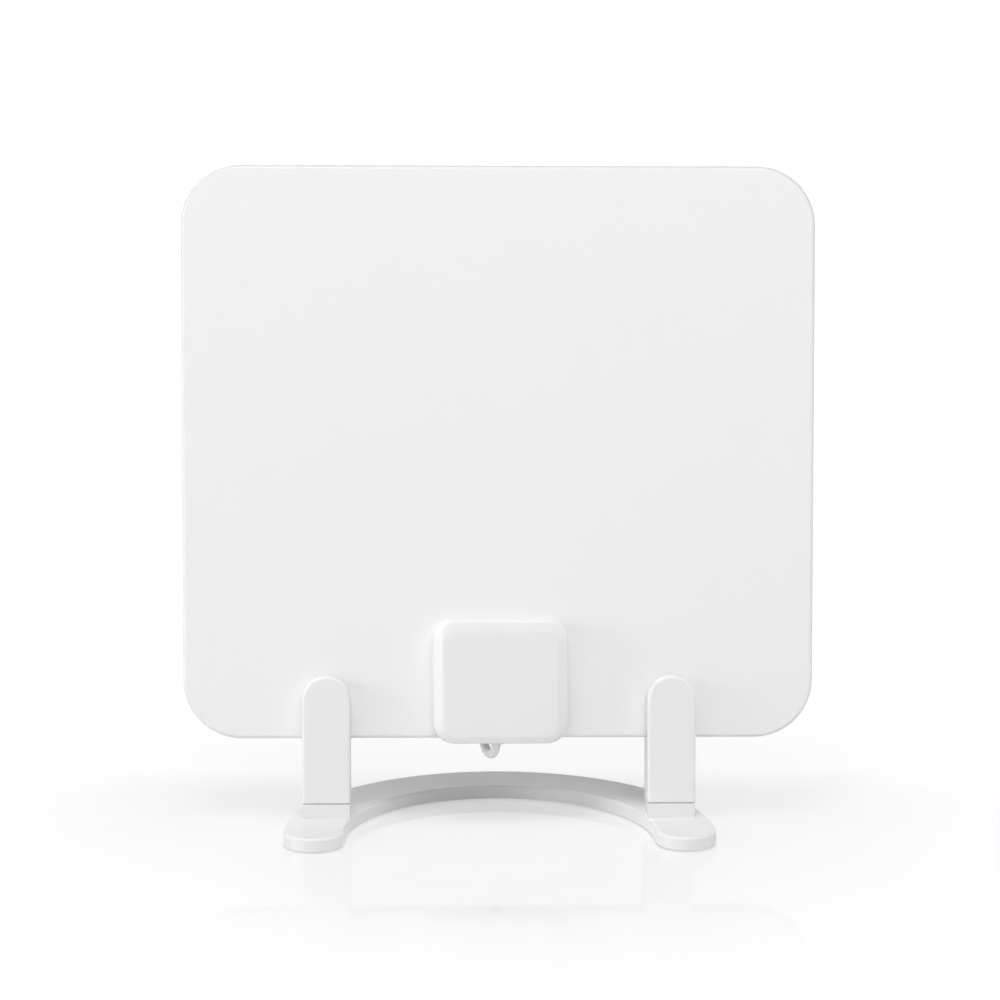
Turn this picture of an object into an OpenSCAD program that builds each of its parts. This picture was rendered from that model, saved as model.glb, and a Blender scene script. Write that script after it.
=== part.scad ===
// Flat indoor aerial: a thin rounded panel with an amplifier box at its lower edge, held by two forked uprights
// on a curved, arch-shaped base. The coaxial lead leaves the box, turns under the panel and ends in a push-on plug.

/* [Panel] */
// Width of the flat panel
panel_w = 210; // [170:1:250]
// Height of the flat panel along its face
panel_h = 190; // [150:1:230]
// Thickness of the flat panel
panel_t = 4.5; // [4.4:0.1:7]
// Corner radius of the panel outline
panel_corner_r = 19.5; // [12:0.5:28]
// Rounding of the panel edges
panel_edge_r = 1.3; // [0.6:0.1:1.4]
// Wall of the front shell
panel_wall = 1.2; // [1:0.1:1.3]
// Thickness of the back shell plate
back_t = 1.5; // [1.4:0.1:1.6]
// Height of the locating rim on the back shell
rim_h = 0.8; // [0.5:0.1:0.9]
// Width of the locating rim on the back shell
rim_w = 1.2; // [0.8:0.1:2]
// Backward lean of the panel in degrees
lean_a = 8; // [2:0.5:12]
// Height of the lower edge of the panel above the floor
panel_z = 30; // [28:0.5:40]
// Distance of the panel face behind the centre of the base arch
panel_back = 21.5; // [20:0.5:26]

/* [Aerial element] */
// Thickness of the carrier sheet
sheet_t = 0.6; // [0.4:0.1:0.7]
// Gap between the carrier sheet and the wall of the shell
sheet_margin = 6; // [4:0.5:12]
// Thickness of the foil
foil_t = 0.2; // [0.1:0.05:0.25]
// Width of the foil strip of a loop
foil_w = 10; // [6:0.5:14]
// Width of one foil loop
loop_w = 68; // [50:1:70]
// Height of one foil loop
loop_h = 150; // [100:1:155]
// Distance of a foil loop from the middle of the panel
loop_gap = 24; // [22:0.5:26]
// Height of the feed line above the lower edge of the panel
feed_z = 20; // [18:0.5:22]
// Width of the feed line
feed_w = 6; // [4:0.5:7]

/* [Amplifier box] */
// Width of the box where it meets the panel
box_w = 45; // [43:0.5:52]
// Height of the box where it meets the panel
box_h = 41.8; // [41:0.2:48]
// Depth of the box in front of the panel
box_d = 8; // [7.6:0.1:11]
// How far the box reaches below the panel
box_drop = 1.6; // [1:0.1:2.4]
// Sideways place of the box
box_x = 0.5; // [-4:0.1:4]
// How much narrower the front face is on each side
box_taper = 3; // [2:0.1:3.6]
// Corner radius of the box outline
box_corner_r = 6.7; // [5:0.1:9]
// Wall of the box cover
box_wall = 1.4; // [1.2:0.1:1.6]
// Distance of a screw boss from the side of the box
boss_side = 8; // [7.5:0.1:8.5]
// Distance of the lower screw bosses from the lower edge of the box
boss_low = 9.6; // [9:0.1:10.6]
// Distance of the upper screw bosses from the upper edge of the box
boss_high = 8.2; // [7.2:0.1:9]
// Diameter of a screw boss
boss_d = 4.6; // [4.2:0.1:5]
// Diameter of the boss spigot that carries the circuit board
spigot_d = 3.6; // [3.4:0.1:4]
// Diameter of the screw shank
screw_d = 2.2; // [1.8:0.1:2.4]
// Diameter of the screw head
screw_head_d = 4; // [3.6:0.1:4.6]
// Thickness of the screw head
screw_head_t = 0.9; // [0.7:0.1:1]
// Length of the screw under its head
screw_len = 7; // [6:0.1:8]
// Running clearance round a screw
screw_gap = 0.15; // [0.1:0.05:0.25]

/* [Circuit board] */
// How much narrower the circuit board is than the box
board_room_w = 9; // [8:0.5:10]
// How much lower the circuit board is than the box
board_room_h = 10.8; // [10:0.1:12]
// Thickness of the circuit board
board_t = 1; // [0.8:0.1:1.2]
// Depth of the board front in the box, measured from the panel face
board_y = 3; // [2.8:0.1:3.2]
// Height of the lower edge of the board
board_z = 4.5; // [4:0.1:5]
// Width of the shield can
can_w = 17; // [12:0.5:18]
// Height of the shield can along the board
can_h = 15; // [10:0.5:16]
// How far the shield can stands off the board
can_t = 2.4; // [1.6:0.1:2.6]
// Sheet thickness of the shield can
can_wall = 0.3; // [0.2:0.05:0.5]
// Width of a contact spring
spring_w = 2.4; // [2:0.1:3]
// Sheet thickness of a contact spring
spring_t = 0.3; // [0.2:0.05:0.4]
// Distance between the two contact springs
spring_dx = 14; // [12:0.5:16]
// Length of the largest small part on the board
chip_l = 4; // [3:0.1:4.4]

/* [Lead and plug] */
// Diameter of the coaxial lead
cable_d = 3; // [2.5:0.1:3.2]
// Outer diameter of the grommet
grommet_d = 5.2; // [4.8:0.1:5.6]
// Length of the grommet
grommet_len = 3.2; // [2.8:0.1:4]
// Diameter of the plug body
plug_d = 11; // [10.6:0.1:13]
// Length of the plug body
plug_len = 22; // [18:0.5:28]
// Length of the tapered strain relief of the plug
relief_len = 20; // [20:1:26]
// Outer diameter of the plug shell
shell_d = 9.5; // [9:0.1:9.6]
// Length of the plug shell past the body
shell_len = 11; // [9:0.5:14]
// Wall of the plug shell
shell_wall = 0.5; // [0.4:0.05:0.8]
// How far the plug shell is set into the plug body
shell_seat = 4; // [3:0.5:6]
// Step between the shell's outside and its narrower seat in the body
shell_step = 0.2; // [0.15:0.05:0.3]
// Width of the slits in the plug shell
slit_w = 0.8; // [0.5:0.1:1.2]
// Length of the slits in the plug shell
slit_len = 5; // [3:0.5:5]
// Number of grip flutes round the plug body
flutes = 12; // [8:1:16]
// Diameter of a grip flute
flute_d = 1.4; // [1:0.1:1.8]
// Diameter of the centre pin
pin_d = 2.34; // [2:0.01:2.6]
// How far the centre pin stands in front of the body
pin_len = 9.5; // [8:0.5:12]
// Width of the cable tie
tie_w = 6; // [4:0.5:8]
// Thickness of the cable tie
tie_t = 0.8; // [0.6:0.1:1]

/* [Stand] */
// Outer radius of the base arch
arch_r = 71; // [70:0.5:80]
// Width of the base band
band_w = 19.8; // [18:0.1:22]
// Thickness of the base plate
plate_t = 4.3; // [4:0.1:6]
// Rounding of the upper edges of the base
plate_edge_r = 0.9; // [0.4:0.1:1.2]
// Length of the straight stretch of a foot in front of the arch
foot_len = 0.5; // [0.2:0.1:6]
// How far an upright stands inside the middle of the base band
upright_in = 3.7; // [0:0.1:4.6]
// Width of an upright
upright_w = 16; // [14:0.1:17]
// Thickness of the front tab of an upright
tab_front_t = 5.5; // [4:0.1:6]
// Thickness of the rear tab of an upright
tab_back_t = 4; // [3:0.1:5]
// Height of the front tab above the lower edge of the panel
tab_h = 21.2; // [18:0.1:26]
// Height of the rear tab above the lower edge of the panel
tab_back_h = 15; // [12:0.1:18]
// Rounding of the upright edges
upright_edge_r = 1; // [0.5:0.1:1.5]
// Clearance of the panel in the slot, on each side
slot_gap = 0.2; // [0.1:0.05:0.4]
// Length of an upright from the slot floor down to the seam
upright_drop = 21.4; // [19:0.1:22]
// Height of the shadow groove at the seam
seam_h = 0.5; // [0.3:0.1:0.8]
// Depth of the shadow groove at the seam
seam_in = 0.7; // [0.4:0.1:1]
// How much narrower the socket is than the upright, on each side
socket_in = 0.2; // [0.1:0.05:0.5]
// Width of the tenon under an upright
tenon_w = 10; // [8:0.1:11]
// Depth of the tenon from front to back
tenon_d = 7; // [6:0.1:8]
// Length of the tenon
tenon_len = 4.2; // [3.6:0.1:4.6]
// Clearance of the tenon in its pocket
tenon_gap = 0.1; // [0.05:0.05:0.2]
// Diameter of the screw in an upright
stand_screw_d = 3; // [2.5:0.1:3.2]
// Head diameter of the screw in an upright
stand_head_d = 5.6; // [5:0.1:6]
// Head thickness of the screw in an upright
stand_head_t = 1.2; // [1:0.1:1.4]
// Length of the screw in an upright under its head
stand_screw_len = 13; // [10:0.1:14]
// Diameter of a rubber foot pad
pad_d = 9; // [7:0.1:11]
// Thickness of a rubber foot pad
pad_t = 1.5; // [1.2:0.1:1.8]
// How far a foot pad stands proud of the base
pad_out = 0.5; // [0.3:0.1:0.8]
// Angle of the rear foot pads from the back of the arch
pad_a = 28; // [20:1:40]

/* [Hidden] */
tiny = 0.01;
layer = 0.05;
round_n = 64;
soft_n = 32;

// The origin is under the middle of the stand, so the arch is placed from its own depth.
mid_r = arch_r - band_w / 2;
arch_y = -(arch_r - foot_len - band_w / 2) / 2;
upright_x = mid_r - upright_in;
panel_y = arch_y + panel_back;
plate_z = pad_out;
plate_top = plate_z + plate_t;

// Depths in the leaning frame of the panel: its face is 0, and its back is panel_t.
shell_y = panel_t - back_t;
sheet_y = panel_wall + foil_t;
foil_top = feed_z - feed_w / 2 + loop_h;
up_front = -slot_gap - tab_front_t;
up_back = panel_t + slot_gap + tab_back_t;
up_mid = (up_front + up_back) / 2;
seam_z = -upright_drop;
seat_floor = 1;
socket_in_plate = 1.2;
head_z = seam_z - tenon_len - tenon_gap - seat_floor;
recess_w = 0.6;
hole_end = 0.4;

// Inside of the shells
cavity_w = panel_w - 2 * panel_wall;
cavity_h = panel_h - 2 * panel_wall;
cavity_r = panel_corner_r - panel_wall;

// Box
box_mid = box_h / 2 - box_drop;
boss_x = [box_x - box_w / 2 + boss_side, box_x + box_w / 2 - boss_side];
boss_z = [boss_low - box_drop, box_h - box_drop - boss_high];
box_in = box_d - box_wall;
board_w = box_w - board_room_w;
board_h = box_h - board_room_h;
// The lead lies on the board, in the clamp, and passes the grommet in the lower wall
cable_in_y = -board_y - cable_d / 2 - 0.1;
clamp_wall = 1.2;
clamp_len = 2.6;
clamp_z = board_z + 1.2;
grommet_z = -1.3;
cable_in_x = -0.8;

// Route of the lead, from the board in the box, under the panel and over to the hank behind the stand
lead_points = [
    [-0.8, -12.3, 38], [-0.8, -13, 34], [-0.9, -13.3, 30.5], [-1.2, -12.6, 27.4],
    [-2, -10.7, 25.2], [-3, -8, 24.4], [-4.1, -5.3, 25.2], [-4.9, -3.3, 27.4],
    [-5.2, -2.3, 30.5], [-5.6, -1.3, 35], [-6.2, 0.2, 41], [-7, 2.9, 47],
    [-8.2, 7.5, 52.2], [-9.8, 13.7, 56], [-11.8, 20.9, 57.4], [-14.2, 28.6, 56.6],
    [-17.2, 37.1, 53.4], [-20.6, 46, 48.6], [-24.4, 54.9, 43], [-28.4, 63.8, 37.2],
    [-32.6, 72.7, 31.6], [-36.8, 81.5, 26.4], [-41, 90.4, 21.8], [-45, 98.7, 17.8],
    [-48, 106.2, 14.4], [-49.7, 113.1, 11.8], [-50, 119.5, 10.5]];
// Route of the last stretch, from the hank to the plug
tail_points = [
    [16, 131.5, 1.6], [21, 131.5, 1.6], [26, 131, 1.7], [31, 129.9, 2],
    [36, 128.3, 2.6], [41, 126.5, 3.5], [46, 125, 4.6], [50.5, 124.1, 5.3], [53.5, 124, 5.5]];
plug_at = [51.5, 124];
// Along the plug: the lead ends in a socket, and the shell, its insulator and the pin sit in the body
lead_seat = 6;
flute_end = 4.5;
shell_z = relief_len + plug_len - shell_seat;
insulator_len = 5;
pin_floor = 1;
// The hank lies behind the stand: runs of 54 and end loops of 9 and 12, four turns high
hank_at = [-11, 119.5];
hank_run = 54;
hank_r = 13.5;
hank_h = 12;
waist = 12;
waist_r = 60;

// The panel leans back about its lower front edge, and so does all that is fixed to it.
module lean() {
    translate([0, panel_y, panel_z]) rotate([-lean_a, 0, 0]) children();
}

// A cylinder that runs from front to back of the panel
module bore(x, z, y0, y1, d) {
    translate([x, y0, z]) rotate([-90, 0, 0]) cylinder(d = d, h = y1 - y0, $fn = round_n);
}

// Section through the rim of a rounded plate: u is the reach from the middle, v the depth from front to back
module rim_section(u0, u1, y0, y1, front_r, back_r) {
    translate([u0, y0 + front_r]) square([u1 - u0, y1 - y0 - front_r - back_r]);
    translate([u0, y0]) square([u1 - u0 - max(front_r, back_r), y1 - y0]);
    intersection() {
        translate([u0, y0]) square([u1 - u0, y1 - y0]);
        union() {
            if (front_r > 0) translate([u1 - front_r, y0 + front_r]) circle(r = front_r, $fn = soft_n);
            if (back_r > 0) translate([u1 - back_r, y1 - back_r]) circle(r = back_r, $fn = soft_n);
        }
    }
}

// A flat rounded plate that stands upright, with a rounded front or back edge all round
module soft_plate(w, h, r, y0, y1, front_r, back_r) {
    for (sx = [-1, 1], sz = [0, 1]) {
        translate([sx * (w / 2 - r), 0, r + sz * (h - 2 * r)]) rotate([-90, 0, 0])
            rotate_extrude($fn = round_n) rim_section(0, r, y0, y1, front_r, back_r);
    }
    for (side = [0, 180]) {
        translate([0, 0, r]) linear_extrude(h - 2 * r) mirror([side / 180, 0])
            rim_section(0, w / 2, y0, y1, front_r, back_r);
        translate([-w / 2 + r, 0, h / 2]) rotate([90, 0, 90]) linear_extrude(w - 2 * r)
            rotate([0, 0, 90]) mirror([0, 1]) mirror([side / 180, 0])
            rim_section(0, h / 2, y0, y1, front_r, back_r);
    }
}

// A plain upright plate with round corners, of exact faces
module flat_plate(w, h, r, y0, y1) {
    translate([0, y1, 0]) rotate([90, 0, 0]) linear_extrude(y1 - y0) rounded(w, h, r);
}

module rounded(w, h, r) {
    translate([-w / 2 + r, 0]) square([w - 2 * r, h]);
    translate([-w / 2, r]) square([w, h - 2 * r]);
    for (sx = [-1, 1], sz = [0, 1]) {
        translate([sx * (w / 2 - r), r + sz * (h - 2 * r)]) circle(r = r, $fn = round_n);
    }
}

// Cross-section of the base band, with rounded upper edges
module band_section(w) {
    square([w, plate_t - plate_edge_r]);
    translate([plate_edge_r, 0]) square([w - 2 * plate_edge_r, plate_t]);
    for (x = [plate_edge_r, w - plate_edge_r]) {
        translate([x, plate_t - plate_edge_r]) circle(r = plate_edge_r, $fn = soft_n);
    }
}

// The round front end of a foot
module foot_end() {
    rotate_extrude(angle = 180, $fn = round_n) intersection() {
        translate([-band_w / 2, 0]) band_section(band_w);
        square([band_w / 2, plate_t]);
    }
}

// A half ring whose two ends run forward into straight feet with round ends
module arch_band() {
    translate([0, arch_y, plate_z]) {
        rotate_extrude(angle = 180, $fn = 128) translate([arch_r - band_w, 0]) band_section(band_w);
        for (sx = [-1, 1]) translate([sx * mid_r, 0, 0]) {
            translate([-band_w / 2, 0, 0]) rotate([90, 0, 0]) linear_extrude(foot_len) band_section(band_w);
            translate([0, -foot_len, 0]) rotate([0, 0, 180]) foot_end();
        }
    }
}

module upright_screw_path(d, z0, z1) {
    for (sx = [-1, 1]) {
        lean() translate([sx * upright_x, up_mid, z0]) cylinder(d = d, h = z1 - z0, $fn = round_n);
    }
}

module socket_blocks() {
    w = upright_w - 2 * socket_in;
    depth = up_back - up_front - 2 * socket_in;
    for (sx = [-1, 1]) {
        lean() translate([sx * upright_x - w / 2, up_front + socket_in, head_z - socket_in_plate])
            cube([w, depth, seam_z - head_z + socket_in_plate]);
    }
}

module pad_places() {
    for (sx = [-1, 1]) {
        translate([sx * mid_r, arch_y - foot_len, 0]) children();
        translate([sx * mid_r * sin(pad_a), arch_y + mid_r * cos(pad_a), 0]) children();
    }
}

module stand_base() {
    color("whitesmoke") difference() {
        union() {
            arch_band();
            socket_blocks();
        }
        for (sx = [-1, 1]) {
            lean() translate([sx * upright_x - tenon_w / 2 - tenon_gap,
                              up_mid - tenon_d / 2 - tenon_gap, seam_z - tenon_len - tenon_gap])
                cube([tenon_w + 2 * tenon_gap, tenon_d + 2 * tenon_gap, tenon_len + 1]);
        }
        upright_screw_path(stand_screw_d + 2 * screw_gap, head_z - 2 * plate_t, seam_z);
        upright_screw_path(stand_head_d + 2 * screw_gap, head_z - 2 * plate_t, head_z);
        pad_places() cylinder(d = pad_d, h = pad_t, $fn = round_n);
    }
}

module foot_pads() {
    color("dimgray") pad_places() cylinder(d = pad_d, h = pad_t, $fn = round_n);
}

module upright_section() {
    rim_section(0, upright_w / 2, up_front, up_back, upright_edge_r, upright_edge_r);
}

// The outer form of an upright: straight sides under a round top, with soft front and rear edges
module upright_form() {
    crown_z = tab_h - upright_w / 2;
    translate([0, 0, crown_z]) rotate([-90, 0, 0]) rotate_extrude($fn = round_n) upright_section();
    for (side = [0, 1]) {
        translate([0, 0, seam_z + seam_h]) linear_extrude(crown_z - seam_z - seam_h)
            mirror([side, 0]) upright_section();
    }
}

module upright() {
    color("whitesmoke") lean() {
        difference() {
            union() {
                upright_form();
                translate([-upright_w / 2 + seam_in, up_front + seam_in, seam_z])
                    cube([upright_w - 2 * seam_in, up_back - up_front - 2 * seam_in, seam_h + 1]);
                translate([-tenon_w / 2, up_mid - tenon_d / 2, seam_z - tenon_len])
                    cube([tenon_w, tenon_d, tenon_len + 1]);
            }
            translate([-upright_w, -slot_gap, 0]) cube([2 * upright_w, panel_t + 2 * slot_gap, tab_h + 1]);
            translate([-upright_w, panel_t + slot_gap - tiny, tab_back_h])
                cube([2 * upright_w, tab_back_t + 1, tab_h]);
            translate([0, up_mid, seam_z - tenon_len - 1])
                cylinder(d = stand_screw_d + screw_gap, h = stand_screw_len + 2, $fn = round_n);
        }
    }
}

module upright_left() {
    translate([-upright_x, 0, 0]) upright();
}

module upright_right() {
    translate([upright_x, 0, 0]) upright();
}

module upright_screws() {
    color("silver") difference() {
        union() {
            upright_screw_path(stand_screw_d, head_z - tiny, head_z + stand_screw_len);
            upright_screw_path(stand_head_d, head_z - stand_head_t, head_z);
        }
        for (sx = [-1, 1], a = [0, 90]) {
            lean() translate([sx * upright_x, up_mid, head_z - stand_head_t]) rotate([0, 0, a])
                cube([stand_head_d * 0.6, recess_w, stand_head_t], center = true);
        }
    }
}

module screw_holes(y0, y1, d) {
    for (x = boss_x, z = boss_z) bore(x, z, y0, y1, d);
}

module panel_front() {
    color("whitesmoke") lean() difference() {
        soft_plate(panel_w, panel_h, panel_corner_r, 0, shell_y, panel_edge_r, 0);
        translate([0, 0, panel_wall]) flat_plate(cavity_w, cavity_h, cavity_r, panel_wall, panel_t);
        screw_holes(-1, panel_wall + 1, screw_d + 2 * screw_gap);
        translate([box_x - spring_dx / 2 - spring_w, -1, feed_z - feed_w])
            cube([spring_dx + 2 * spring_w, panel_wall + 2, 2 * feed_w]);
    }
}

module panel_back() {
    rim_gap = 0.1;
    rim_out = panel_wall + rim_gap;
    color("whitesmoke") lean() difference() {
        union() {
            soft_plate(panel_w, panel_h, panel_corner_r, shell_y, panel_t, 0, panel_edge_r);
            difference() {
                translate([0, 0, rim_out])
                    flat_plate(panel_w - 2 * rim_out, panel_h - 2 * rim_out, panel_corner_r - rim_out,
                               shell_y - rim_h, shell_y + tiny);
                translate([0, 0, rim_out + rim_w])
                    flat_plate(panel_w - 2 * (rim_out + rim_w), panel_h - 2 * (rim_out + rim_w),
                               panel_corner_r - rim_out - rim_w, shell_y - rim_h - 1, shell_y + 1);
            }
            screw_holes(sheet_y + sheet_t, shell_y + tiny, screw_head_d + 1);
        }
        screw_holes(sheet_y, panel_t + 1, screw_d + 2 * screw_gap);
        screw_holes(panel_t - screw_head_t, panel_t + 1, screw_head_d + 2 * screw_gap);
    }
}

module antenna_sheet() {
    m = panel_wall + sheet_margin;
    color("burlywood") lean() difference() {
        translate([0, 0, m]) flat_plate(panel_w - 2 * m, panel_h - 2 * m, panel_corner_r - m / 2,
                                        sheet_y, sheet_y + sheet_t);
        screw_holes(sheet_y - 1, sheet_y + sheet_t + 1, screw_d + 2 * screw_gap);
    }
}

module element(sx) {
    corner = foil_w;
    color("peru") lean() translate([0, sheet_y, 0]) rotate([90, 0, 0]) linear_extrude(foil_t) {
        difference() {
            translate([sx * (loop_gap + loop_w / 2), feed_z - feed_w / 2]) rounded(loop_w, loop_h, corner);
            translate([sx * (loop_gap + loop_w / 2), feed_z - feed_w / 2 + foil_w])
                rounded(loop_w - 2 * foil_w, loop_h - 2 * foil_w, corner / 2);
        }
        inner = spring_dx / 2 + sx * box_x - spring_w;
        translate([sx > 0 ? inner : -loop_gap - corner, feed_z - feed_w / 2])
            square([loop_gap + corner - inner, feed_w]);
    }
}

module element_left() {
    element(-1);
}

module element_right() {
    element(1);
}

// The tapered, softly rounded shape of the box: each slice is [depth, inset]
module box_form(slices, shrink) {
    hull() for (s = slices, sx = [-1, 1], sz = [-1, 1]) {
        r = max(1.2, box_corner_r - s[1] * 0.75 - shrink);
        translate([box_x + sx * (box_w / 2 - s[1] - shrink - r), -s[0],
                   box_mid + sz * (box_h / 2 - s[1] - shrink - r)])
            rotate([90, 0, 0]) cylinder(r = r, h = layer, $fn = soft_n);
    }
}

module box_cover() {
    t = box_taper;
    skin = [[0, 0], [box_d * 0.3, t * 0.12], [box_d * 0.55, t * 0.3], [box_d * 0.78, t * 0.55],
            [box_d * 0.93, t * 0.82], [box_d - layer, t * 1.08]];
    hollow = [[-1, 0], [box_d * 0.3, t * 0.12], [box_d * 0.55, t * 0.3], [box_in, t * 0.62]];
    color("whitesmoke") lean() difference() {
        union() {
            difference() {
                box_form(skin, 0);
                box_form(hollow, box_wall);
            }
            screw_holes(-box_in - hole_end, -board_y, boss_d);
            screw_holes(-box_in - hole_end, 0, spigot_d);
        }
        screw_holes(panel_t - screw_head_t - screw_len - hole_end, 1, screw_d + 2 * screw_gap);
        translate([cable_in_x, cable_in_y, -box_drop - 1])
            cylinder(d = grommet_d, h = box_drop + grommet_z + grommet_len + 1.5, $fn = round_n);
    }
}

module box_screws() {
    seat = panel_t - screw_head_t;
    color("silver") lean() difference() {
        union() {
            screw_holes(seat, seat + screw_head_t, screw_head_d);
            screw_holes(seat - screw_len, seat + tiny, screw_d);
        }
        for (x = boss_x, z = boss_z, a = [0, 90]) {
            translate([x, panel_t, z]) rotate([0, a, 0])
                cube([screw_head_d * 0.6, screw_head_t, recess_w], center = true);
        }
    }
}

module amp_board() {
    color("seagreen") lean() difference() {
        translate([box_x, 0, board_z]) flat_plate(board_w, board_h, 1.5, -board_y, -board_y + board_t);
        screw_holes(-board_y - 1, 0, spigot_d + 2 * screw_gap);
    }
}

module amp_shield() {
    z0 = board_z + board_h - can_h - 2.5;
    color("lightgray") lean() difference() {
        translate([box_x - can_w / 2, -board_y - can_t, z0]) cube([can_w, can_t, can_h]);
        translate([box_x - can_w / 2 + can_wall, -board_y - can_t + can_wall, z0 + can_wall])
            cube([can_w - 2 * can_wall, can_t, can_h - 2 * can_wall]);
        for (i = [-1, 0, 1]) bore(box_x + i * can_w / 4, z0 + can_h / 2, -board_y - can_t - 1, -board_y - 1, 1.2);
    }
}

// Small parts on the board: each row is its place across and up the board, as shares of the board, and its
// width, its height and how far it stands off, as shares of the largest part's length
module amp_parts() {
    parts = [[-0.4, 0.5, 0.8, 0.62, 0.45], [0.4, 0.5, 0.8, 0.62, 0.45], [-0.4, 0.355, 0.5, 0.31, 0.28],
             [0.4, 0.355, 0.5, 0.31, 0.28], [-0.375, 0.69, 1, 1, 0.22], [0.375, 0.69, 0.75, 0.75, 0.25],
             [-0.2, 0.26, 0.5, 0.31, 0.22], [0.22, 0.26, 0.5, 0.31, 0.22]];
    color("dimgray") lean() for (p = parts) {
        size = chip_l * [p[2], p[4], p[3]];
        translate([box_x + p[0] * board_w - size[0] / 2, -board_y - size[1], board_z + p[1] * board_h - size[2] / 2])
            cube(size);
    }
}

// Bent strips that press on the two feed lines through the window in the front shell
module contact_springs() {
    y_foot = -board_y + board_t;
    reach = panel_wall - y_foot;
    color("gold") lean() for (sx = [-1, 1]) {
        translate([box_x + sx * spring_dx / 2 - spring_w / 2, y_foot, feed_z - 3]) {
            cube([spring_w, spring_t, 3]);
            translate([0, 0, 3 - spring_t]) cube([spring_w, reach, spring_t]);
            translate([0, reach - spring_t, 3 - spring_t]) cube([spring_w, spring_t, 3]);
        }
    }
}

module cable_clamp() {
    color("lightgray") lean() difference() {
        translate([cable_in_x - cable_d / 2 - clamp_wall, cable_in_y - cable_d / 2 - can_wall, clamp_z])
            cube([cable_d + 2 * clamp_wall, -board_y - cable_in_y + cable_d / 2 + can_wall, clamp_len]);
        translate([cable_in_x, cable_in_y, clamp_z - 1]) cylinder(d = cable_d, h = clamp_len + 2, $fn = round_n);
        translate([cable_in_x - cable_d / 2, cable_in_y, clamp_z - 1]) cube([cable_d, cable_d, clamp_len + 2]);
    }
}

module cable_grommet() {
    color("gainsboro") lean() difference() {
        translate([cable_in_x, cable_in_y, grommet_z]) cylinder(d = grommet_d, h = grommet_len, $fn = round_n);
        translate([cable_in_x, cable_in_y, grommet_z - 1])
            cylinder(d = cable_d - 0.1, h = grommet_len + 2, $fn = round_n);
    }
}

// Catmull-Rom point between p[i] and p[i + 1]
function clamp_i(p, i) = p[max(0, min(len(p) - 1, i))];
function between(p, i, u) =
    let (a = clamp_i(p, i - 1), b = clamp_i(p, i), c = clamp_i(p, i + 1), d = clamp_i(p, i + 2))
    (2 * b + (c - a) * u + (2 * a - 5 * b + 4 * c - d) * u * u + (3 * b - a - 3 * c + d) * u * u * u) / 2;
function smooth_route(p, steps) =
    concat([for (i = [0:len(p) - 2], k = [0:steps - 1]) between(p, i, k / steps)], [p[len(p) - 1]]);
function unit(v) = v / norm(v);
function heading(p, i) = unit(clamp_i(p, i + 1) - clamp_i(p, i - 1));
// A sideways direction that is carried along the route without twisting
function carried(p, i, n) = let (t = heading(p, i)) unit(n - t * (n * t));
function sides_of(p, i, n, out) =
    i >= len(p) ? out : let (m = carried(p, i, n)) sides_of(p, i + 1, m, concat(out, [m]));

module tube(route, d, sides) {
    normals = sides_of(route, 0, [1, 0.02, 0.01], []);
    count = len(route);
    points = [for (i = [0:count - 1]) let (t = heading(route, i), n = normals[i], b = cross(t, n))
        for (k = [0:sides - 1]) route[i] + (n * cos(360 * k / sides) + b * sin(360 * k / sides)) * d / 2];
    walls = [for (i = [0:count - 2], k = [0:sides - 1])
        [i * sides + k, (i + 1) * sides + k, (i + 1) * sides + (k + 1) % sides, i * sides + (k + 1) % sides]];
    caps = [[for (k = [0:sides - 1]) k], [for (k = [sides - 1:-1:0]) (count - 1) * sides + k]];
    polyhedron(points = points, faces = concat(walls, caps), convexity = 6);
}

module cable() {
    color("white") tube(smooth_route(lead_points, 2), cable_d, 8);
}

module cable_tail() {
    color("white") tube(smooth_route(tail_points, 2), cable_d, 8);
}

module hank_outline() {
    difference() {
        union() {
            square([hank_run, 2 * hank_r], center = true);
            for (sx = [-1, 1]) translate([sx * hank_run / 2, 0]) circle(r = hank_r, $fn = round_n);
        }
        for (sy = [-1, 1]) {
            for (sx = [-1, 1]) {
                translate([sx * tie_w / 2, sy * (waist / 2 + waist_r)]) circle(r = waist_r, $fn = 128);
            }
            translate([-tie_w / 2, sy > 0 ? waist / 2 : -waist / 2 - hank_r]) square([tie_w, hank_r]);
        }
    }
}

module tie_ring(out, width) {
    translate([-width / 2, -waist / 2 - out, -out]) cube([width, waist + 2 * out, hank_h + 2 * out]);
}

module cable_hank() {
    color("white") translate([hank_at[0], hank_at[1], 0]) difference() {
        linear_extrude(hank_h) hank_outline();
        difference() {
            tie_ring(1, tie_w);
            tie_ring(-tie_t, tie_w + 1);
        }
    }
}

module cable_tie() {
    color("dimgray") translate([hank_at[0], hank_at[1], 0]) difference() {
        tie_ring(0, tie_w);
        tie_ring(-tie_t, tie_w + 1);
    }
}

module plug_axis() {
    translate([plug_at[0], plug_at[1], plug_d / 2]) rotate([0, 90, 0]) children();
}

module plug_body() {
    color("white") plug_axis() difference() {
        rotate_extrude($fn = round_n) polygon([
            [0, 0], [cable_d / 2 + 0.7, 0], [cable_d / 2 + 1.6, relief_len * 0.8], [plug_d / 2 - 0.8, relief_len],
            [plug_d / 2, relief_len + 1.2], [plug_d / 2, relief_len + plug_len - 0.8],
            [plug_d / 2 - 0.8, relief_len + plug_len], [0, relief_len + plug_len]]);
        translate([0, 0, -1]) cylinder(d = cable_d - 0.2, h = lead_seat + 1, $fn = round_n);
        for (i = [0:3]) translate([0, 0, 3 + relief_len * (0.1 + 0.17 * i)])
            rotate_extrude($fn = soft_n) translate([cable_d / 2 + 0.9, 0]) square([2, 1]);
        for (i = [0:flutes - 1]) rotate([0, 0, 360 * i / flutes])
            translate([plug_d / 2 + flute_d / 5, 0, relief_len + flute_end])
                cylinder(d = flute_d, h = plug_len - 2 * flute_end, $fn = 16);
        translate([0, 0, shell_z]) cylinder(d = shell_d - 2 * shell_step, h = shell_seat + 1, $fn = round_n);
    }
}

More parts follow.
